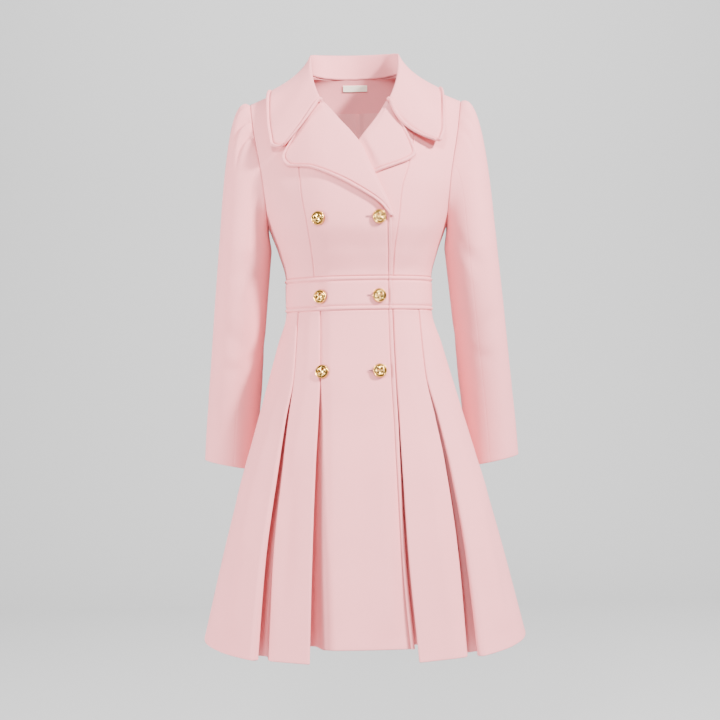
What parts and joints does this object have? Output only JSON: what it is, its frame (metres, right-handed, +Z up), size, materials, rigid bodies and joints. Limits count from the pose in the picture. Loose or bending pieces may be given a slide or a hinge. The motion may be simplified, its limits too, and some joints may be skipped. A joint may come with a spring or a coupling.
{
  "type": "flared coat",
  "caption": "Pale pink double-breasted coat with a wide notched collar, waist band and pleated flared skirt, held open and hollow as worn.",
  "frame": {"origin": "midway between the two side neck points, where the wearer's shoulders hold the coat", "axes": "+Z up along the body, -Y out of the closed front, +X towards the wearer's left sleeve"},
  "size_m": [0.54, 0.3267, 1.0009],
  "materials": {
    "wool": "matte",
    "lining": "satin",
    "label": "matte",
    "button_metal": "polished"
  },
  "bodies": {
    "root": {"front_right_side": "wool", "front_left_side": "wool", "front_right_centre": "wool", "front_left_centre": "wool", "back_centre": "wool", "back_left_side": "wool", "back_right_side": "wool", "waistband_right": "wool", "waistband_left": "wool", "waistband_back": "wool", "skirt_front_right_side": "wool", "skirt_front_right_middle": "wool", "skirt_front_left_side": "wool", "skirt_front_left_middle": "wool", "skirt_front_right_centre": "wool", "skirt_front_left_centre": "wool", "skirt_back_left": "wool", "skirt_back_right": "wool", "skirt_back_centre": "wool", "lapel_right": "wool", "lapel_left": "wool", "collar": "wool", "sleeve_left_upper": "wool", "sleeve_left_under": "wool", "sleeve_right_upper": "wool", "sleeve_right_under": "wool", "neck_facing": "wool", "back_lining": "lining", "neck_label": "label", "button_right_top": "button_metal", "button_left_top": "button_metal", "button_right_waist": "button_metal", "button_left_waist": "button_metal", "button_right_skirt": "button_metal", "button_left_skirt": "button_metal"}
  },
  "joints": []
}
